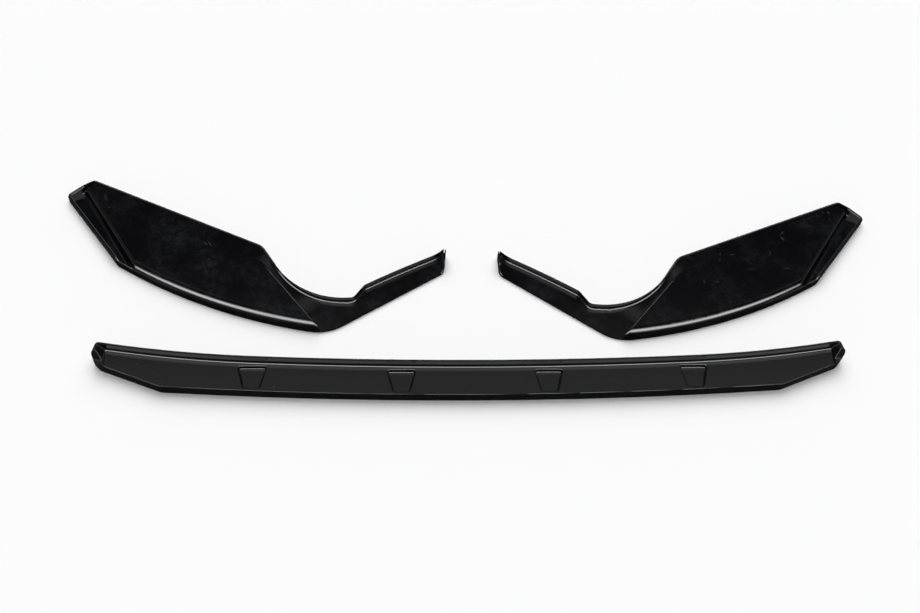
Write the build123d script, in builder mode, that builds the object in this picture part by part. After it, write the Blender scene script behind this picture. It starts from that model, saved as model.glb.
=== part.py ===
"""Front splitter lip for a car bumper: three thermoformed mouldings laid out on a flat surface.

Millimetres, +Z up. +X runs along the centre lip, and -Y is the edge that faces forward on the car. Each
moulding is one sheet of plastic, drawn thinner in its upstanding rims, so it is made as its show form less
the hollow that lies one sheet below.
"""
import math
import os

from build123d import *

# Sheet that all three mouldings are formed from
SHEET = 4.0

# Centre lip: plan, with the middle of its front edge at the origin
LIP_LENGTH = 1014.0
LIP_DEPTH = 46.6
LIP_FRONT_RADIUS = 6200.0
LIP_CUT_START = 415.0
LIP_CUT_END = (497.0, 46.5)
LIP_NOSE_SETBACK = 57.0
LIP_REAR_RADIUS = 6400.0
LIP_REAR_MIDDLE = 300.0
LIP_REAR_END_RADIUS = 1630.0
LIP_END_RAKE = 15.0
LIP_END_DRAFT = 38.0
LIP_END_FOOT = 490.5
LIP_CORNER_RADIUS = 5.0

# Centre lip: heights and edges
LIP_BLADE_HEIGHT = 17.0
LIP_FLANGE_HEIGHT = 13.0
LIP_FLANGE_FILLET = 3.0
LIP_FRONT_EDGE_RADIUS = 0.6
LIP_FLANGE_EDGE_RADIUS = 3.0
LIP_RUNOUT_TOP = 62.0
LIP_RUNOUT_FOOT = 52.0
LIP_RUNOUT_HEIGHT = 3.0

# Centre lip: tapered pockets
POCKET_COUNT = 4
POCKET_PITCH = 197.5
POCKET_LENGTH = 33.0
POCKET_DEPTH = 5.0
POCKET_REAR_WIDTH = 39.0
POCKET_FRONT_WIDTH = 22.0
POCKET_FRONT_MARGIN = 4.0
POCKET_DRAFT = 12.0
POCKET_CORNER_RADIUS = 3.0
POCKET_FLOOR_FILLET = 1.5
POCKET_RIM_RADIUS = 1.2

# Corner blade: plan in the car's own directions, the tip of the arm at the origin, outwards along -X
ARM_LENGTH = 208.0
ARM_TIP_WIDTH = 31.0
ARM_TIP_OVERHANG = 5.5
ARM_TIP_SLANT = 18.0
ARM_REAR_BOW = 1.0
ARM_FLARE = (-24.0, 27.5)
JOG_REACH = 128.0
JOG_SETBACK = 35.5
BAY_REACH = 215.5
BAY_DEPTH = 126.0
BAY_RADIUS = 109.0
BAY_SWEEP = 66.0
SHOULDER_SETBACK = 165.0
BLADE_REACH = 400.0
BLADE_END_WIDTH = 36.0
BLADE_FLARE = 11.0
BLADE_FRONT_SETBACK = 246.0
BLADE_REAR_SETBACK = 386.0
BLADE_FRONT_BOW = 17.0
INNER_CORNER_RADIUS = 65.0
SHOULDER_RADIUS = 22.0
JOG_RADIUS = 9.0

# Corner blade: heights and edges
PLATEAU_HEIGHT = 16.0
FRONT_ROUND = 13.0
REAR_EDGE_RADIUS = 5.0
CREASE_REACH = 214.0
CREASE_LEAN = 0.11
CREASE_RADIUS = 4.0
FOOT_TAIL_SETBACK = 150.0
FOOT_TAIL_RISE = 0.03
FOOT_SWEEP_SETBACK = 40.0
FOOT_OPENING = 18.0
RIM_THICKNESS = 2.0
TIP_RUNOUT = 9.0
FOOT_FILLET = 3.0
CHANNEL_WIDTH = 16.0
CHANNEL_EDGE_RADIUS = 5.0
CHANNEL_END = 8.0
CHANNEL_FILLET = 6.0
FIN_HEIGHT = 10.0

# Corner blade: rounding of the corners of its outline
TIP_FRONT_CORNER = 12.0
TIP_REAR_CORNER = 4.0
OUTER_FRONT_CORNER = 12.0
OUTER_REAR_CORNER = 6.0
APEX_CORNER = 10.0

# Layout on the surface: where each arm's tip lies, from the middle of the lip's front edge, and its turn
LEFT_TIP = (-21.2, 210.4)
LEFT_TURN = 31.4
RIGHT_TIP = (25.9, 208.2)
RIGHT_TURN = -34.7

# Run that a cutting shape has past the material, and the slack in picking out an edge by its place
CLEAR = 60.0
TOUCH = 0.1


def draw_lip_rear(inset):
    """Draw half of the lip's rear edge, a distance inside the outline, and return its outer stretch."""
    reach = LIP_LENGTH / 2 - inset
    middle_radius = LIP_REAR_RADIUS + inset
    end_radius = LIP_REAR_END_RADIUS + inset
    middle_sweep = math.asin(LIP_REAR_MIDDLE / LIP_REAR_RADIUS)
    end_sine = math.sin(middle_sweep) * (1 - middle_radius / end_radius) + reach / end_radius
    end_sweep = math.asin(end_sine) - middle_sweep
    middle = JernArc((0, LIP_DEPTH - inset), (1, 0), middle_radius, math.degrees(middle_sweep))
    return JernArc(middle @ 1, middle % 1, end_radius, math.degrees(end_sweep))


def front_bow(x):
    """Return how far the lip's front edge lies back at a distance from its middle."""
    return LIP_FRONT_RADIUS - math.sqrt(LIP_FRONT_RADIUS ** 2 - x ** 2)


# Plan of the centre lip, its ends raked inwards to the rear
with BuildSketch() as lip_plan:
    with BuildLine():
        lip_half = LIP_LENGTH / 2
        front = ThreePointArc((0, 0), (LIP_CUT_START / 2, front_bow(LIP_CUT_START / 2)),
                              (LIP_CUT_START, front_bow(LIP_CUT_START)))
        cut = Line(front @ 1, LIP_CUT_END)
        nose = Line(cut @ 1, (lip_half, LIP_NOSE_SETBACK))
        rear = draw_lip_rear(0)
        Line(nose @ 1, rear @ 1)
        Line((0, 0), (0, LIP_DEPTH))
    make_face()
    with BuildLine():
        end_run = CLEAR * math.tan(math.radians(LIP_END_RAKE))
        end_back = LIP_NOSE_SETBACK + CLEAR
        Polyline((lip_half, LIP_NOSE_SETBACK), (lip_half - end_run, end_back), (lip_half + CLEAR, end_back),
                 (lip_half + CLEAR, LIP_NOSE_SETBACK), close=True)
    make_face(mode=Mode.SUBTRACT)
    mirror(about=Plane.YZ)
    end_corners = lip_plan.vertices().filter_by(lambda v: abs(v.X) > LIP_CUT_END[0] + TOUCH)
    fillet(end_corners, LIP_CORNER_RADIUS)

# Space above the blade that the flange bounds, open to the front, its ends sloping outwards
with BuildPart() as lip_tray:
    with BuildSketch(Plane.XY.offset(LIP_BLADE_HEIGHT)):
        with BuildLine():
            rear = draw_lip_rear(SHEET)
            Polyline(rear @ 1, ((rear @ 1).X, -CLEAR), (0, -CLEAR), (0, LIP_DEPTH - SHEET))
        make_face()
        mirror(about=Plane.YZ)
    extrude(amount=CLEAR)
    with BuildSketch(Plane.XZ):
        with BuildLine():
            draft_run = CLEAR * math.tan(math.radians(LIP_END_DRAFT))
            tray_top = LIP_BLADE_HEIGHT + CLEAR
            Polyline((LIP_END_FOOT, LIP_BLADE_HEIGHT), (LIP_END_FOOT + draft_run, tray_top),
                     (-LIP_END_FOOT - draft_run, tray_top), (-LIP_END_FOOT, LIP_BLADE_HEIGHT), close=True)
        make_face()
    extrude(amount=2 * CLEAR, both=True, mode=Mode.INTERSECT)
    below_top = lip_tray.edges().filter_by(lambda e: (e @ 0.5).Z < tray_top - TOUCH)
    fillet(below_top.filter_by(lambda e: (e @ 0.5).Y > TOUCH - CLEAR), LIP_FLANGE_FILLET)

# Flange that stands along the rear edge and both ends, running out towards the front corners
with BuildPart() as lip_flange:
    with BuildSketch():
        add(lip_plan.sketch)
    extrude(amount=LIP_BLADE_HEIGHT + LIP_FLANGE_HEIGHT)
    add(lip_tray.part, mode=Mode.SUBTRACT)
    with BuildSketch():
        with BuildLine():
            Polyline((-LIP_END_FOOT, -CLEAR), (-LIP_END_FOOT, LIP_CUT_END[1]),
                     (-LIP_CUT_START, LIP_DEPTH / 2), (LIP_CUT_START, LIP_DEPTH / 2),
                     (LIP_END_FOOT, LIP_CUT_END[1]), (LIP_END_FOOT, -CLEAR), close=True)
        make_face()
    extrude(amount=CLEAR, mode=Mode.SUBTRACT)
    with BuildSketch(Plane.YZ.offset(LIP_END_FOOT)):
        with BuildLine():
            runout = LIP_BLADE_HEIGHT + LIP_RUNOUT_HEIGHT
            flange_top = LIP_BLADE_HEIGHT + LIP_FLANGE_HEIGHT
            Polyline((-CLEAR, runout), (LIP_RUNOUT_FOOT, runout), (LIP_RUNOUT_TOP, flange_top),
                     (LIP_RUNOUT_TOP, CLEAR), (-CLEAR, CLEAR), close=True)
        make_face()
    flange_end = extrude(amount=CLEAR, mode=Mode.SUBTRACT)
    mirror(flange_end, about=Plane.YZ, mode=Mode.SUBTRACT)

# Pockets that are pressed down into the blade
pocket_spots = []
for index in range(POCKET_COUNT):
    across = (index - (POCKET_COUNT - 1) / 2) * POCKET_PITCH
    pocket_spots.append((across, front_bow(across) + POCKET_FRONT_MARGIN))


def pocket_plan(grow):
    """Return the outline of one pocket at the blade's face, grown by a distance."""
    with BuildSketch() as outline:
        with BuildLine():
            Polyline((-POCKET_FRONT_WIDTH / 2, 0), (POCKET_FRONT_WIDTH / 2, 0),
                     (POCKET_REAR_WIDTH / 2, POCKET_LENGTH), (-POCKET_REAR_WIDTH / 2, POCKET_LENGTH),
                     close=True)
        make_face()
        if grow:
            offset(amount=grow, kind=Kind.INTERSECTION)
    return outline.sketch


with BuildPart() as pocket:
    with BuildSketch(Plane.XY.offset(LIP_BLADE_HEIGHT)):
        add(pocket_plan(0))
    extrude(amount=-POCKET_DEPTH, taper=POCKET_DRAFT)
    fillet(pocket.edges().filter_by(lambda e: abs((e % 0.5).Z) > 0.5), POCKET_CORNER_RADIUS)
    fillet(pocket.faces().sort_by(Axis.Z)[0].edges(), POCKET_FLOOR_FILLET)

with BuildPart() as pocket_outside:
    with BuildSketch(Plane.XY.offset(LIP_BLADE_HEIGHT)):
        add(pocket_plan(SHEET))
    extrude(amount=-POCKET_DEPTH - SHEET, taper=POCKET_DRAFT)

# Hollow under the blade, open at the rear and at both ends
with BuildPart() as lip_hollow:
    with BuildSketch():
        add(lip_plan.sketch)
        offset(amount=-SHEET, mode=Mode.REPLACE)
        with Locations((0, LIP_DEPTH / 2)):
            Rectangle(2 * LIP_CUT_START, CLEAR, align=(Align.CENTER, Align.MIN))
        with Locations((0, LIP_NOSE_SETBACK)):
            Rectangle(LIP_LENGTH + CLEAR, CLEAR, align=(Align.CENTER, Align.MIN))
    extrude(amount=LIP_BLADE_HEIGHT - SHEET)
    with Locations(*pocket_spots):
        add(pocket_outside.part, mode=Mode.SUBTRACT)

# Show form of the lip: the blade with its front edge rounded, the flange and the sunk pockets
with BuildPart() as lip_form:
    with BuildSketch():
        add(lip_plan.sketch)
    extrude(amount=LIP_BLADE_HEIGHT)
    top = lip_form.faces().sort_by(Axis.Z)[-1].edges()
    front_edges = top.filter_by(lambda e: max((e @ 0).Y, (e @ 1).Y) < LIP_CUT_END[1] + TOUCH)
    fillet(front_edges, LIP_FRONT_EDGE_RADIUS)
    add(lip_flange.part)
    fillet(lip_form.edges().sort_by_distance((0, LIP_DEPTH, flange_top))[0], LIP_FLANGE_EDGE_RADIUS)
    with Locations(*pocket_spots):
        add(pocket.part, mode=Mode.SUBTRACT)
    for across, back in pocket_spots:
        top = lip_form.edges().filter_by_position(Axis.Z, LIP_BLADE_HEIGHT - TOUCH, LIP_BLADE_HEIGHT + TOUCH)
        rim = top.sort_by_distance((across, back + POCKET_LENGTH / 2, LIP_BLADE_HEIGHT))[0]
        fillet(rim, POCKET_RIM_RADIUS)

# Distances outwards of the channel's inner side and of the corner where the rear edge ends
channel_inside = BLADE_REACH - CHANNEL_WIDTH
apex_reach = BLADE_REACH - BLADE_END_WIDTH

# Plan of the left corner blade
with BuildSketch() as blade_plan:
    with BuildLine():
        tip_rear = (ARM_TIP_OVERHANG, ARM_TIP_WIDTH)
        tip_front = (-ARM_TIP_SLANT, 0)
        inner = (-ARM_LENGTH, 0)
        jog = (-JOG_REACH, JOG_SETBACK)
        outer_front = (-BLADE_REACH, BLADE_FRONT_SETBACK)
        outer_rear = (-BLADE_REACH - BLADE_FLARE, BLADE_REAR_SETBACK)
        apex = (-apex_reach, BLADE_REAR_SETBACK)
        shoulder = (-BAY_REACH, SHOULDER_SETBACK)
        Polyline(tip_rear, tip_front, inner)
        SagittaArc(inner, outer_front, BLADE_FRONT_BOW)
        Polyline(outer_front, outer_rear, apex, shoulder, (-BAY_REACH, BAY_DEPTH))
        bay = JernArc((-BAY_REACH, BAY_DEPTH), (0, -1), BAY_RADIUS, BAY_SWEEP)
        Line(bay @ 1, jog)
        arm_rear = SagittaArc(jog, ARM_FLARE, ARM_REAR_BOW)
        TangentArc(arm_rear @ 1, tip_rear, tangent=arm_rear % 1)
    make_face()
    fillet(blade_plan.vertices().sort_by_distance(inner)[0], INNER_CORNER_RADIUS)
    fillet(blade_plan.vertices().sort_by_distance(shoulder)[0], SHOULDER_RADIUS)
    fillet(blade_plan.vertices().sort_by_distance(jog)[0], JOG_RADIUS)
    fillet(blade_plan.vertices().sort_by_distance(bay @ 1)[0], JOG_RADIUS)

# The same plan with the rounded corners that the finished moulding has
with BuildSketch() as blade_outline:
    add(blade_plan.sketch)
    for corner, radius in ((tip_rear, TIP_REAR_CORNER), (tip_front, TIP_FRONT_CORNER), (apex, APEX_CORNER),
                           (outer_front, OUTER_FRONT_CORNER), (outer_rear, OUTER_REAR_CORNER)):
        fillet(blade_outline.vertices().sort_by_distance(corner)[0], radius)


def tip_inside(y):
    """Return where the inner face of the arm's tip wall lies at a distance from the front edge."""
    slope = (ARM_TIP_OVERHANG + ARM_TIP_SLANT) / ARM_TIP_WIDTH
    return slope * y - ARM_TIP_SLANT - RIM_THICKNESS * math.hypot(1, slope)


def crease_at(y):
    """Return where the plateau drops to the arm at a distance from the front edge."""
    return -CREASE_REACH - CREASE_LEAN * y


# Where the cut for the arm's floor ends, past the place where that floor has risen to the plateau
tail_end = FOOT_TAIL_SETBACK + CLEAR / 2


def foot_region(grow, crease_reach):
    """Return the plan of the arm's sunk floor, run on past the crease and grown by distances."""
    with BuildSketch() as region:
        add(blade_plan.sketch)
        offset(amount=-RIM_THICKNESS, mode=Mode.REPLACE)
        with BuildLine():
            Polyline((tip_inside(FOOT_OPENING), FOOT_OPENING), (tip_inside(-CLEAR), -CLEAR),
                     (-BLADE_REACH, -CLEAR), (-BLADE_REACH, FOOT_OPENING), close=True)
        make_face()
        with BuildSketch(mode=Mode.INTERSECT):
            with BuildLine():
                Polyline((crease_at(-CLEAR) - crease_reach, -CLEAR),
                         (crease_at(tail_end) - crease_reach, tail_end), (CLEAR, tail_end), (CLEAR, -CLEAR),
                         close=True)
            make_face()
        if grow:
            offset(amount=grow)
    return region.sketch


def foot_space(grow, crease_reach):
    """Return the space above the arm's floor, which is flat along the arm and sweeps up towards the tail."""
    with BuildPart() as space:
        with BuildSketch(Plane.XY.offset(SHEET - grow)):
            add(foot_region(grow, crease_reach))
        extrude(amount=CLEAR)
        with BuildSketch(Plane.YZ):
            with BuildLine():
                floor_start = (FOOT_SWEEP_SETBACK, SHEET - grow)
                floor_end = (FOOT_TAIL_SETBACK, PLATEAU_HEIGHT - grow)
                sweep = Spline(floor_start, floor_end, tangents=((1, 0), (1, FOOT_TAIL_RISE)))
                run = Line(sweep @ 1, sweep @ 1 + (sweep % 1) * CLEAR)
                Polyline(run @ 1, ((run @ 1).X, CLEAR), (-2 * CLEAR, CLEAR), (-2 * CLEAR, SHEET - grow),
                         floor_start)
            make_face()
        extrude(amount=2 * BLADE_REACH, both=True, mode=Mode.INTERSECT)
    return space.part


# Plateau's side of the crease, with the rounded edge over which it drops to the arm
with BuildPart() as crease_side:
    with BuildSketch():
        with BuildLine():
            Polyline((crease_at(-CLEAR), -CLEAR), (crease_at(tail_end), tail_end), (-BLADE_REACH, tail_end),
                     (-BLADE_REACH, -CLEAR), close=True)
        make_face()
    extrude(amount=PLATEAU_HEIGHT)
    fillet(crease_side.faces().sort_by(Axis.Z)[-1].edges().sort_by(Axis.X)[-1], CREASE_RADIUS)

# Space above the arm, with a fillet along the foot of its outer walls
with BuildPart() as foot:
    add(foot_space(0, CREASE_RADIUS + SHEET))
    floors = foot.faces().filter_by(lambda f: f.normal_at().Z < -0.5)
    around = floors.edges().filter_by(lambda e: abs((e @ 0).Y - (e @ 1).Y) > TOUCH)
    fillet(around.filter_by(lambda e: (e @ 0.5).X > crease_at((e @ 0.5).Y)), FOOT_FILLET)
    add(crease_side.part, mode=Mode.SUBTRACT)


def channel_region(grow):
    """Return the plan of the channel behind the outer fin, grown by a distance."""
    with BuildSketch() as region:
        add(blade_plan.sketch)
        offset(amount=-SHEET, mode=Mode.REPLACE)
        with Locations((-channel_inside, 0)):
            Rectangle(BLADE_REACH, 2 * BLADE_REAR_SETBACK, align=(Align.MAX, Align.CENTER),
                      mode=Mode.INTERSECT)
        if grow:
            offset(amount=grow, kind=Kind.INTERSECTION)
    return region.sketch


def end_notch(grow):
    """Return the notch that runs on from the channel to the end wall, grown by a distance."""
    with BuildPart() as notch:
        with BuildSketch(Plane.XY.offset(PLATEAU_HEIGHT - CHANNEL_END - grow)):
            with BuildLine():
                end_wall = BLADE_REAR_SETBACK - SHEET
                plateau_end = BLADE_REAR_SETBACK - CHANNEL_END
                Polyline((-apex_reach, end_wall), (-channel_inside - SHEET, end_wall),
                         (-channel_inside - SHEET, plateau_end), (-channel_inside, plateau_end), close=True)
            make_face()
            if grow:
                offset(amount=grow, kind=Kind.INTERSECTION)
        extrude(amount=CLEAR)
    return notch.part


with BuildPart() as channel:
    with BuildSketch(Plane.XY.offset(SHEET)):
        add(channel_region(0))
    extrude(amount=CLEAR)
    fillet(channel.faces().sort_by(Axis.Z)[0].edges().sort_by(Axis.X)[-1], CHANNEL_FILLET)
    add(end_notch(0))

# Block with the large round along the front and the small one along the rear
with BuildPart() as rounded_block:
    with BuildSketch():
        add(blade_plan.sketch)
    extrude(amount=PLATEAU_HEIGHT)
    top = rounded_block.faces().sort_by(Axis.Z)[-1].edges()
    fillet(top.sort_by(Axis.Y)[0], FRONT_ROUND)
    top = rounded_block.faces().sort_by(Axis.Z)[-1].edges()
    rear_middle = (-(apex_reach + BAY_REACH) / 2, (BLADE_REAR_SETBACK + SHOULDER_SETBACK) / 2, PLATEAU_HEIGHT)
    arm_middle = (-JOG_REACH / 2, JOG_SETBACK, PLATEAU_HEIGHT)
    fillet([top.sort_by_distance(spot)[0] for spot in (rear_middle, arm_middle)], REAR_EDGE_RADIUS)

# Hollow under the plateau: one sheet inside the skirt, the arm's floor and the channel
with BuildPart() as blade_hollow:
    with BuildSketch():
        add(blade_plan.sketch)
        offset(amount=-SHEET, mode=Mode.REPLACE)
    extrude(amount=PLATEAU_HEIGHT - SHEET)
    fillet(blade_hollow.faces().sort_by(Axis.Z)[-1].edges().sort_by(Axis.Y)[0], FRONT_ROUND - SHEET)
    add(foot_space(SHEET, 0), mode=Mode.SUBTRACT)
    with BuildSketch():
        add(channel_region(SHEET))
    extrude(amount=PLATEAU_HEIGHT, mode=Mode.SUBTRACT)
    add(end_notch(SHEET), mode=Mode.SUBTRACT)

# Left corner blade as it sits on the car
with BuildPart() as blade:
    with BuildSketch():
        add(blade_plan.sketch)
    extrude(amount=PLATEAU_HEIGHT)
    add(foot.part, mode=Mode.SUBTRACT)
    add(channel.part, mode=Mode.SUBTRACT)
    top = blade.edges().filter_by_position(Axis.Z, PLATEAU_HEIGHT - TOUCH, PLATEAU_HEIGHT + TOUCH)
    channel_middle = (-channel_inside, (BLADE_FRONT_SETBACK + BLADE_REAR_SETBACK) / 2, PLATEAU_HEIGHT)
    fillet(top.sort_by_distance(channel_middle)[0], CHANNEL_EDGE_RADIUS)
    with BuildSketch(Plane.XZ):
        with BuildLine():
            fin_reach = BLADE_REACH + BLADE_FLARE
            fin_fall = (PLATEAU_HEIGHT - FIN_HEIGHT) / (fin_reach - channel_inside)
            fin_end = fin_reach + SHEET
            Polyline((-channel_inside, PLATEAU_HEIGHT), (-fin_end, FIN_HEIGHT - fin_fall * SHEET),
                     (-fin_end, CLEAR), (-channel_inside, CLEAR), close=True)
        make_face()
    extrude(amount=-2 * BLADE_REAR_SETBACK, mode=Mode.SUBTRACT)
    with BuildSketch(Plane.YZ):
        with BuildLine():
            Polyline((-CLEAR, SHEET), (0, SHEET), (TIP_RUNOUT, PLATEAU_HEIGHT), (TIP_RUNOUT, CLEAR),
                     (-CLEAR, CLEAR), close=True)
        make_face()
    extrude(amount=-2 * ARM_TIP_SLANT, mode=Mode.SUBTRACT)
    add(rounded_block.part, mode=Mode.INTERSECT)
    with BuildSketch():
        add(blade_outline.sketch)
    extrude(amount=PLATEAU_HEIGHT, mode=Mode.INTERSECT)
    add(blade_hollow.part, mode=Mode.SUBTRACT)

# Layout: the three mouldings as they lie, moved so that the middle of their outside box is the origin
left_blade = Pos(*LEFT_TIP) * Rot(0, 0, LEFT_TURN) * blade.part
right_blade = Pos(*RIGHT_TIP) * Rot(0, 0, RIGHT_TURN) * mirror(blade.part, about=Plane.YZ)
layout = Compound([lip_form.part, left_blade, right_blade]).bounding_box()
centring = Pos(-(layout.min.X + layout.max.X) / 2, -(layout.min.Y + layout.max.Y) / 2)

os.makedirs("parts", exist_ok=True)

with BuildPart() as centre_lip:
    add(centring * lip_form.part)
    add(centring * lip_hollow.part, mode=Mode.SUBTRACT)
centre_lip.part.label = "centre_lip"
export_step(centre_lip.part, "parts/centre_lip.step")

with BuildPart() as corner_blade_left:
    add(centring * left_blade)
corner_blade_left.part.label = "corner_blade_left"
export_step(corner_blade_left.part, "parts/corner_blade_left.step")

with BuildPart() as corner_blade_right:
    add(centring * right_blade)
corner_blade_right.part.label = "corner_blade_right"
export_step(corner_blade_right.part, "parts/corner_blade_right.step")
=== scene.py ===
"""Looks of a front splitter lip: three gloss black mouldings laid out on a white studio floor.

Metres, in the row frame: +X along the centre lip, -Y towards the edge that faces forward on the car, +Z up.
"""
import logging
import math
from dataclasses import dataclass
from enum import Enum

import bmesh
import bpy
from mathutils import Matrix, Vector


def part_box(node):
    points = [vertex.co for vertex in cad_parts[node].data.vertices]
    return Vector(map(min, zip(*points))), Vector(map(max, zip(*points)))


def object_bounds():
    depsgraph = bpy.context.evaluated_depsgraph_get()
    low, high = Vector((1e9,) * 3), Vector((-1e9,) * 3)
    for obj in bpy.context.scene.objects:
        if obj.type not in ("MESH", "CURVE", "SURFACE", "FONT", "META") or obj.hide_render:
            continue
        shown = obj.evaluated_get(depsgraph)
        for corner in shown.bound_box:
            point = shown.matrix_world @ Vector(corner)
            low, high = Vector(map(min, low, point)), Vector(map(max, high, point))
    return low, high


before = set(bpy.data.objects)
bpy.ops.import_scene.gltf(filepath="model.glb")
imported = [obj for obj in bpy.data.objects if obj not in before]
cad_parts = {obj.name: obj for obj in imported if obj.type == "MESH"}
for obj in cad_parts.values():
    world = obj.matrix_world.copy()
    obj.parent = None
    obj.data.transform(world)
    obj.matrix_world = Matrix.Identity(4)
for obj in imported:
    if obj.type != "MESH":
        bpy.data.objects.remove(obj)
CAD_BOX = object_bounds()

MM = 0.001
# The lip's rounds are small, so their shading is evened over less
LIP_EVENED_MM = 0.6
LOG = logging.getLogger("splitter")

NodeValue = bpy.types.NodeSocket | tuple | float


def hex_to_linear(code: str) -> tuple[float, float, float, float]:
    """Turn an sRGB hex colour into linear light.

    Args:
        code: Colour such as "#101112".

    Returns:
        Red, green, blue and an alpha of 1.
    """
    parts = [int(code[start:start + 2], 16) / 255 for start in (1, 3, 5)]
    linear = [part / 12.92 if part <= 0.04045 else ((part + 0.055) / 1.055) ** 2.4 for part in parts]
    return (linear[0], linear[1], linear[2], 1.0)


def add_node(tree: bpy.types.NodeTree, kind: str, inputs: dict | None = None, **settings) -> bpy.types.Node:
    """Add a node with its settings, and fill or link its inputs.

    Args:
        tree: Node tree that takes the node.
        kind: Blender's type name of the node.
        inputs: Value, or socket to link from, for each input by its name or number.
        **settings: Properties of the node.

    Returns:
        The new node.
    """
    node = tree.nodes.new(kind)
    for name, value in settings.items():
        setattr(node, name, value)
    for key, value in (inputs or {}).items():
        if isinstance(value, bpy.types.NodeSocket):
            tree.links.new(value, node.inputs[key])
        else:
            node.inputs[key].default_value = value
    return node


class Blend(Enum):
    """What a Mix node blends: its data type and the numbers of its two inputs and its output."""

    NUMBER = ("FLOAT", 2, 3, 0)
    VECTOR = ("VECTOR", 4, 5, 1)
    COLOUR = ("RGBA", 6, 7, 2)


def blend(tree: bpy.types.NodeTree, kind: Blend, share: bpy.types.NodeSocket, first: NodeValue,
          second: NodeValue) -> bpy.types.NodeSocket:
    """Blend two values.

    Args:
        tree: Node tree that takes the node.
        kind: What is blended.
        share: Socket that runs from 0 for the first value to 1 for the second.
        first: Value or socket.
        second: Value or socket.

    Returns:
        Socket with the blended value.
    """
    data_type, first_input, second_input, output = kind.value
    node = add_node(tree, "ShaderNodeMix", {0: share, first_input: first, second_input: second},
                    data_type=data_type)
    return node.outputs[output]


def per_size(size_mm: float) -> float:
    """Return the texture scale that gives a pattern cells of a size in millimetres."""
    return 1 / (size_mm * MM)


@dataclass(frozen=True)
class Scuff:
    """One mark on the gloss: where it lies, how long and wide it is, which way it runs and how it shows."""

    x_mm: float
    y_mm: float
    length_mm: float
    width_mm: float
    turn_degrees: float
    strength: float


# Scratches, smears and specks on the left plateau, the lip and the right plateau
SCUFFS = (
    Scuff(-521, 144, 22, 7, -65, 0.30),
    Scuff(-515, 127, 5, 4, 0, 0.80),
    Scuff(-404, 0, 4, 3, 0, 0.60),
    Scuff(-376, 66, 12, 3, -48, 0.90),
    Scuff(-370, 66, 18, 3, -56, 0.80),
    Scuff(-452, -127, 4, 3, 0, 0.35),
    Scuff(-272, -162, 4, 3, 0, 1.00),
    Scuff(324, 4, 12, 4, -81, 0.40),
    Scuff(343, 3, 7, 4, 0, 0.40),
    Scuff(352, 63, 4, 3, -17, 0.60),
    Scuff(353, 50, 5, 4, 0, 0.60),
    Scuff(352, 41, 5, 4, 0, 0.80),
    Scuff(371, 49, 12, 3, 10, 0.50),
    Scuff(395, 25, 22, 4, 10, 0.30),
    Scuff(426, 52, 12, 4, -95, 0.50),
    Scuff(448, 26, 15, 5, -4, 0.35),
    Scuff(449, 87, 13, 4, -138, 0.60),
    Scuff(448, 77, 14, 5, -56, 0.70),
    Scuff(516, 123, 6, 5, 0, 0.40),
    Scuff(524, 123, 8, 5, -50, 0.60),
    Scuff(523, 112, 5, 4, 0, 0.35),
)


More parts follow.
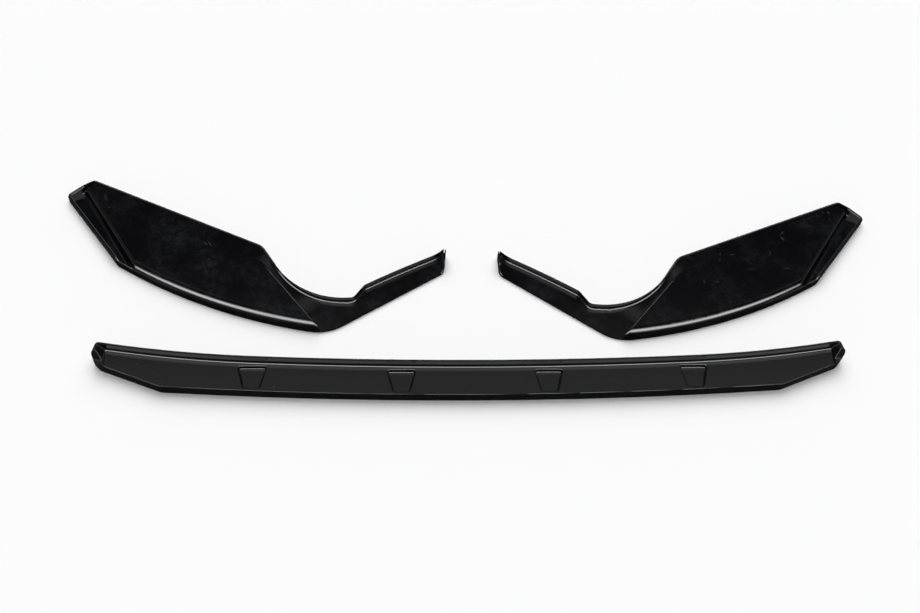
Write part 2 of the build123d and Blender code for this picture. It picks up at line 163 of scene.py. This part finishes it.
@dataclass(frozen=True)
class CappedAbs:
    """Black ABS sheet with a clear acrylic cap, vacuum formed over a mould.

    The cap gives a deep gloss with soft-edged reflections. Handling has left hazy smears, scuffs and specks
    of dust that lift the black a little, and forming has left a slight waviness. Rounded edges are shaded
    smoother than their facets.
    """

    name: str
    black: str = "#08080a"
    haze: str = "#1a1b1d"
    scuff: str = "#4a4b4d"
    dust: str = "#8d8e90"
    ior: float = 1.5
    specular: float = 0.35
    clean_roughness: float = 0.14
    smeared_roughness: float = 0.24
    back_roughness: float = 0.55
    cloud_mm: float = 60.0
    cloud_range: tuple[float, float] = (0.38, 0.66)
    smear_mm: float = 9.0
    smear_range: tuple[float, float] = (0.36, 0.74)
    scuff_grain_mm: float = 1.6
    scuff_grain_range: tuple[float, float] = (0.35, 0.65)
    # real dust is finer; it is drawn this coarse so that it shows
    dust_spacing_mm: float = 16.0
    dust_mm: float = 0.7
    dust_core_share: float = 1 / 3
    dust_chance_range: tuple[float, float] = (0.6, 1.0)
    dust_strength: float = 0.5
    wave_mm: float = 26.0
    wave_height_mm: float = 0.03
    # upward part of the normal from which a face counts as the raw back, and at which it fully does
    back_facing: tuple[float, float] = (-0.3, -0.5)
    evened_mm: float = 4.0
    evened_samples: int = 8
    # lean of the normal where a round leaves the flat, is clear of it, nears the wall and meets it
    round_lean_degrees: tuple[float, float, float, float] = (2.0, 6.0, 65.0, 80.0)

    def make(self) -> bpy.types.Material:
        """Build the material.

        Returns:
            The finished material.
        """
        material = bpy.data.materials.new(self.name)
        material.use_nodes = True
        tree = material.node_tree
        tree.nodes.clear()
        place = add_node(tree, "ShaderNodeTexCoord").outputs["Object"]
        haze = self._haze(tree, place)
        colour = hex_to_linear(self.black)
        layers = (
            (haze, self.haze),
            (self._scuffs(tree, place), self.scuff),
            (self._dust(tree, place), self.dust),
        )
        for mask, tone in layers:
            colour = blend(tree, Blend.COLOUR, mask, colour, hex_to_linear(tone))
        shader = add_node(tree, "ShaderNodeBsdfPrincipled", {
            "Base Color": colour, "Roughness": self._roughness(tree, haze), "IOR": self.ior,
            "Specular IOR Level": self.specular, "Normal": self._waviness(tree, place)})
        add_node(tree, "ShaderNodeOutputMaterial", {"Surface": shader.outputs["BSDF"]})
        return material

    def _haze(self, tree: bpy.types.NodeTree, place: bpy.types.NodeSocket) -> bpy.types.NodeSocket:
        """Return a mask of the hazy smears: fine mottling that gathers in clouds.

        Args:
            tree: Node tree of the material.
            place: Coordinates that the pattern lies on.

        Returns:
            Socket that runs from 0 on clean plastic to 1 in the thickest haze.
        """
        cloud = add_node(tree, "ShaderNodeTexNoise", {
            "Vector": place, "Scale": per_size(self.cloud_mm), "Detail": 3.0, "Roughness": 0.6})
        smear = add_node(tree, "ShaderNodeTexNoise", {
            "Vector": place, "Scale": per_size(self.smear_mm), "Detail": 5.0, "Roughness": 0.65,
            "Distortion": 0.8})
        gathered = add_node(tree, "ShaderNodeMapRange", {
            "Value": cloud.outputs["Fac"], "From Min": self.cloud_range[0], "From Max": self.cloud_range[1]},
            interpolation_type="SMOOTHSTEP")
        mottled = add_node(tree, "ShaderNodeMapRange", {
            "Value": smear.outputs["Fac"], "From Min": self.smear_range[0], "From Max": self.smear_range[1]})
        return add_node(tree, "ShaderNodeMath", {0: gathered.outputs["Result"], 1: mottled.outputs["Result"]},
                        operation="MULTIPLY").outputs["Value"]

    def _scuffs(self, tree: bpy.types.NodeTree, place: bpy.types.NodeSocket) -> bpy.types.NodeSocket:
        """Return a mask of the scuffs, each a streak with a broken edge.

        Args:
            tree: Node tree of the material.
            place: Coordinates that the marks lie on.

        Returns:
            Socket that runs from 0 beside a scuff to its strength in its middle.
        """
        flat = add_node(tree, "ShaderNodeVectorMath", {0: place, 1: (1.0, 1.0, 0.0)},
                        operation="MULTIPLY").outputs["Vector"]
        grain = add_node(tree, "ShaderNodeTexNoise", {
            "Vector": flat, "Scale": per_size(self.scuff_grain_mm), "Detail": 2.0})
        marks = None
        for scuff in SCUFFS:
            inside = add_node(tree, "ShaderNodeMapping", {
                "Vector": flat, "Location": (scuff.x_mm * MM, scuff.y_mm * MM, 0.0),
                "Rotation": (0.0, 0.0, math.radians(scuff.turn_degrees)),
                "Scale": (scuff.length_mm * MM / 2, scuff.width_mm * MM / 2, 1.0)}, vector_type="TEXTURE")
            reach = add_node(tree, "ShaderNodeVectorMath", {0: inside.outputs["Vector"]}, operation="LENGTH")
            mark = add_node(tree, "ShaderNodeMapRange", {
                "Value": reach.outputs["Value"], "From Min": 1.0, "From Max": 0.0, "To Max": scuff.strength},
                interpolation_type="SMOOTHSTEP").outputs["Result"]
            marks = mark if marks is None else add_node(tree, "ShaderNodeMath", {0: marks, 1: mark},
                                                        operation="MAXIMUM").outputs["Value"]
        broken = add_node(tree, "ShaderNodeMapRange", {
            "Value": grain.outputs["Fac"], "From Min": self.scuff_grain_range[0],
            "From Max": self.scuff_grain_range[1]})
        return add_node(tree, "ShaderNodeMath", {0: marks, 1: broken.outputs["Result"]},
                        operation="MULTIPLY").outputs["Value"]

    def _dust(self, tree: bpy.types.NodeTree, place: bpy.types.NodeSocket) -> bpy.types.NodeSocket:
        """Return a mask of the dust specks, which lie in a share of the cells of a loose grid.

        Args:
            tree: Node tree of the material.
            place: Coordinates that the pattern lies on.

        Returns:
            Socket that is 0 between the specks and up to the dust's strength on them.
        """
        cells = add_node(tree, "ShaderNodeTexVoronoi", {
            "Vector": place, "Scale": per_size(self.dust_spacing_mm)})
        reach = self.dust_mm / self.dust_spacing_mm
        speck = add_node(tree, "ShaderNodeMapRange", {
            "Value": cells.outputs["Distance"], "From Min": reach, "From Max": reach * self.dust_core_share})
        chance = add_node(tree, "ShaderNodeSeparateXYZ", {"Vector": cells.outputs["Color"]})
        held = add_node(tree, "ShaderNodeMapRange", {
            "Value": chance.outputs["X"], "From Min": self.dust_chance_range[0],
            "From Max": self.dust_chance_range[1], "To Max": self.dust_strength})
        return add_node(tree, "ShaderNodeMath", {0: speck.outputs["Result"], 1: held.outputs["Result"]},
                        operation="MULTIPLY").outputs["Value"]

    def _roughness(self, tree: bpy.types.NodeTree, haze: bpy.types.NodeSocket) -> bpy.types.NodeSocket:
        """Return the roughness: glossy on the show face, duller in the haze, matt on the sheet's raw back.

        Args:
            tree: Node tree of the material.
            haze: Mask of the smears.

        Returns:
            Socket with the roughness.
        """
        show = add_node(tree, "ShaderNodeMapRange", {
            "Value": haze, "To Min": self.clean_roughness, "To Max": self.smeared_roughness})
        facing = add_node(tree, "ShaderNodeSeparateXYZ", {
            "Vector": add_node(tree, "ShaderNodeNewGeometry").outputs["True Normal"]})
        back = add_node(tree, "ShaderNodeMapRange", {
            "Value": facing.outputs["Z"], "From Min": self.back_facing[0], "From Max": self.back_facing[1]})
        return blend(tree, Blend.NUMBER, back.outputs["Result"], show.outputs["Result"], self.back_roughness)

    def _waviness(self, tree: bpy.types.NodeTree, place: bpy.types.NodeSocket) -> bpy.types.NodeSocket:
        """Return the normal of the slight waviness that forming leaves.

        Args:
            tree: Node tree of the material.
            place: Coordinates that the pattern lies on.

        Returns:
            Socket with the normal.
        """
        wave = add_node(tree, "ShaderNodeTexNoise", {
            "Vector": place, "Scale": per_size(self.wave_mm), "Detail": 2.0, "Roughness": 0.5})
        return add_node(tree, "ShaderNodeBump", {
            "Height": wave.outputs["Fac"], "Distance": self.wave_height_mm * MM,
            "Normal": self._evened_rounds(tree)}).outputs["Normal"]

    def _evened_rounds(self, tree: bpy.types.NodeTree) -> bpy.types.NodeSocket:
        """Return the surface's normal, kept on flats and walls and evened out on the rounds between them.

        Args:
            tree: Node tree of the material.

        Returns:
            Socket with the normal.
        """
        normal = add_node(tree, "ShaderNodeNewGeometry").outputs["Normal"]
        lean = add_node(tree, "ShaderNodeSeparateXYZ", {"Vector": normal}).outputs["Z"]
        flat, off_flat, off_wall, wall = (math.cos(math.radians(angle)) for angle in self.round_lean_degrees)
        leaves_flat = add_node(tree, "ShaderNodeMapRange", {
            "Value": lean, "From Min": flat, "From Max": off_flat})
        leaves_wall = add_node(tree, "ShaderNodeMapRange", {
            "Value": lean, "From Min": wall, "From Max": off_wall})
        curved = add_node(tree, "ShaderNodeMath", {
            0: leaves_flat.outputs["Result"], 1: leaves_wall.outputs["Result"]}, operation="MULTIPLY")
        even = add_node(tree, "ShaderNodeBevel", {"Radius": self.evened_mm * MM}, samples=self.evened_samples)
        mixed = blend(tree, Blend.VECTOR, curved.outputs["Value"], normal, even.outputs["Normal"])
        return add_node(tree, "ShaderNodeVectorMath", {0: mixed}, operation="NORMALIZE").outputs["Vector"]


@dataclass(frozen=True)
class StudioPaper:
    """White background paper: matt, so that it spreads the light and takes soft shadows."""

    name: str = "white_background_paper"
    white: str = "#fafafa"
    roughness: float = 0.9

    def make(self) -> bpy.types.Material:
        """Build the material.

        Returns:
            The finished material.
        """
        material = bpy.data.materials.new(self.name)
        material.use_nodes = True
        tree = material.node_tree
        tree.nodes.clear()
        paper = add_node(tree, "ShaderNodeBsdfPrincipled", {
            "Base Color": hex_to_linear(self.white), "Roughness": self.roughness, "Specular IOR Level": 0.0})
        add_node(tree, "ShaderNodeOutputMaterial", {"Surface": paper.outputs["BSDF"]})
        return material


class Piece(Enum):
    """The mouldings: the CAD node of each, by what it is."""

    CENTRE_LIP = "centre_lip"
    LEFT_BLADE = "corner_blade_left"
    RIGHT_BLADE = "corner_blade_right"


@dataclass
class Moulding:
    """One formed sheet, shown by its CAD node with the plastic's finish on it."""

    piece: Piece

    def dress(self, finish: bpy.types.Material) -> bpy.types.Object:
        """Give the node its material.

        Args:
            finish: Material of the sheet.

        Returns:
            The dressed node.
        """
        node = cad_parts[self.piece.value]
        node.data.materials.clear()
        node.data.materials.append(finish)
        return node


@dataclass
class StudioFloor:
    """The white paper that the mouldings lie on, kept out of what their gloss mirrors."""

    half_width: float = 40.0

    def build(self, finish: bpy.types.Material) -> bpy.types.Object:
        """Make the floor.

        Args:
            finish: Material of the paper.

        Returns:
            The floor, which is stage and not part of the object.
        """
        shape = bmesh.new()
        bmesh.ops.create_grid(shape, x_segments=1, y_segments=1, size=self.half_width)
        mesh = bpy.data.meshes.new("studio_floor")
        shape.to_mesh(mesh)
        shape.free()
        mesh.materials.append(finish)
        floor = bpy.data.objects.new("studio_floor", mesh)
        floor.location.z = CAD_BOX[0].z
        floor.visible_glossy = False
        bpy.context.scene.collection.objects.link(floor)
        return floor


@dataclass
class Surround:
    """The studio around the object: white where the paper sweeps up, dark overhead, dim below the floor."""

    low_light: float = 0.9
    high_light: float = 0.02
    below_light: float = 0.05
    sweep_degrees: float = 35.0
    below_degrees: float = 12.0

    def build(self) -> bpy.types.World:
        """Make the world.

        Returns:
            The world.
        """
        world = bpy.data.worlds.new("studio_surround")
        world.use_nodes = True
        tree = world.node_tree
        tree.nodes.clear()
        way = add_node(tree, "ShaderNodeSeparateXYZ", {
            "Vector": add_node(tree, "ShaderNodeTexCoord").outputs["Generated"]})
        sweep_top = math.sin(math.radians(self.sweep_degrees))
        height = add_node(tree, "ShaderNodeMapRange", {
            "Value": way.outputs["Z"], "From Min": 0.0, "From Max": sweep_top,
            "To Min": self.low_light, "To Max": self.high_light}, interpolation_type="SMOOTHSTEP")
        dim_start = -math.sin(math.radians(self.below_degrees))
        below = add_node(tree, "ShaderNodeMapRange", {
            "Value": way.outputs["Z"], "From Min": dim_start, "From Max": 0.0,
            "To Min": self.below_light, "To Max": self.low_light})
        light = add_node(tree, "ShaderNodeMath", {0: height.outputs["Result"], 1: below.outputs["Result"]},
                         operation="MINIMUM")
        sky = add_node(tree, "ShaderNodeBackground", {"Strength": light.outputs["Value"]})
        add_node(tree, "ShaderNodeOutputWorld", {"Surface": sky.outputs["Background"]})
        bpy.context.scene.world = world
        return world


@dataclass
class PaperLight:
    """The wide, even light from above that falls on the matt paper and is not mirrored in the gloss."""

    strength: float = 3.5
    spread_degrees: float = 74.0
    lean_degrees: float = 33.0

    def build(self) -> bpy.types.Object:
        """Make the light.

        Returns:
            The light.
        """
        lamp = bpy.data.lights.new("paper_light", "SUN")
        lamp.energy = self.strength
        lamp.angle = math.radians(self.spread_degrees)
        light = bpy.data.objects.new("paper_light", lamp)
        light.rotation_euler.x = math.radians(-self.lean_degrees)
        light.visible_glossy = False
        bpy.context.scene.collection.objects.link(light)
        return light


@dataclass
class Softbox:
    """A rectangular studio light that is mirrored in the gloss, turned to a point on the floor.

    The fades are the shares of its depth over which it dies away at the front and at the rear.
    """

    name: str
    place: tuple[float, float, float]
    aim: tuple[float, float, float]
    width: float
    depth: float
    power: float
    front_fade: float = 0.0
    rear_fade: float = 0.0

    def build(self) -> bpy.types.Object:
        """Make the light.

        Returns:
            The light.
        """
        lamp = bpy.data.lights.new(self.name, "AREA")
        lamp.shape = "RECTANGLE"
        lamp.size = self.width
        lamp.size_y = self.depth
        lamp.energy = self.power
        if self.front_fade or self.rear_fade:
            self._fade(lamp)
        box = bpy.data.objects.new(self.name, lamp)
        box.location = self.place
        box.rotation_mode = "QUATERNION"
        box.rotation_quaternion = (Vector(self.aim) - Vector(self.place)).to_track_quat("-Z", "Y")
        box.visible_diffuse = False
        bpy.context.scene.collection.objects.link(box)
        return box

    def _fade(self, lamp: bpy.types.Light) -> None:
        """Let the light die away towards its front and rear edges, as the cloth of a softbox does.

        Args:
            lamp: The lamp that gets the nodes.
        """
        lamp.use_nodes = True
        tree = lamp.node_tree
        tree.nodes.clear()
        across = add_node(tree, "ShaderNodeSeparateXYZ", {
            "Vector": add_node(tree, "ShaderNodeNewGeometry").outputs["Parametric"]}).outputs["Y"]
        front = add_node(tree, "ShaderNodeMapRange", {
            "Value": across, "From Min": 0.0, "From Max": self.front_fade}, interpolation_type="SMOOTHSTEP")
        rear = add_node(tree, "ShaderNodeMapRange", {
            "Value": across, "From Min": 1.0, "From Max": 1.0 - self.rear_fade},
            interpolation_type="SMOOTHSTEP")
        glow = add_node(tree, "ShaderNodeMath", {0: front.outputs["Result"], 1: rear.outputs["Result"]},
                        operation="MULTIPLY")
        cloth = add_node(tree, "ShaderNodeEmission", {"Strength": glow.outputs["Value"]})
        add_node(tree, "ShaderNodeOutputLight", {"Surface": cloth.outputs["Emission"]})


# Panels that light the rounds facing forward, the lip's flat blade and the rounds facing back
SOFTBOXES = (
    Softbox("front_panel", place=(0.0, -1.7, 2.3), aim=(0.0, -1.7, 0.0), width=6.4, depth=2.6, power=1000.0,
            front_fade=0.6, rear_fade=0.3),
    Softbox("rear_panel", place=(0.0, 1.1, 2.3), aim=(0.0, 1.1, 0.0), width=5.2, depth=0.44, power=6.2,
            front_fade=0.2, rear_fade=0.6),
    Softbox("back_wall", place=(0.0, 4.0, 0.6), aim=(0.0, 0.0, 0.0), width=6.0, depth=1.0, power=45.0),
)


@dataclass
class PhotoCamera:
    """The photograph's camera, placed from the middle of the centre lip's front edge."""

    eye: tuple[float, float, float] = (-0.1336, -0.8022, 1.5663)
    target: tuple[float, float, float] = (-0.0159, 0.1466, 0.0)
    roll_degrees: float = 6.04
    lens_mm: float = 51.65
    sensor_mm: float = 36.0

    def build(self) -> bpy.types.Object:
        """Make the camera and give it to the scene.

        Returns:
            The camera.
        """
        low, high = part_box(Piece.CENTRE_LIP.value)
        start = Vector(((low.x + high.x) / 2, low.y, low.z))
        eye = start + Vector(self.eye)
        look = (start + Vector(self.target) - eye).to_track_quat("-Z", "Y").to_matrix()
        data = bpy.data.cameras.new("photo_camera")
        data.sensor_fit = "HORIZONTAL"
        data.sensor_width = self.sensor_mm
        data.lens = self.lens_mm
        camera = bpy.data.objects.new("photo_camera", data)
        camera.rotation_mode = "QUATERNION"
        roll = Matrix.Rotation(math.radians(self.roll_degrees), 3, "Z")
        camera.rotation_quaternion = (look @ roll).to_quaternion()
        camera.location = eye
        bpy.context.scene.collection.objects.link(camera)
        bpy.context.scene.camera = camera
        return camera


def main() -> None:
    """Build the mouldings, the studio and the camera."""
    logging.basicConfig(level=logging.INFO, format="%(name)s: %(message)s")
    bpy.context.scene.view_settings.view_transform = "Standard"
    lip_plastic = CappedAbs("vacuum_formed_capped_abs_lip", evened_mm=LIP_EVENED_MM).make()
    blade_plastic = CappedAbs("vacuum_formed_capped_abs_blade").make()
    for piece in Piece:
        plastic = lip_plastic if piece is Piece.CENTRE_LIP else blade_plastic
        LOG.info("%s dressed", Moulding(piece).dress(plastic).name)
    LOG.info("%s laid", StudioFloor().build(StudioPaper().make()).name)
    LOG.info("%s set", Surround().build().name)
    LOG.info("%s lit", PaperLight().build().name)
    for softbox in SOFTBOXES:
        LOG.info("%s lit", softbox.build().name)
    LOG.info("%s placed", PhotoCamera().build().name)


if __name__ == "__main__":
    main()
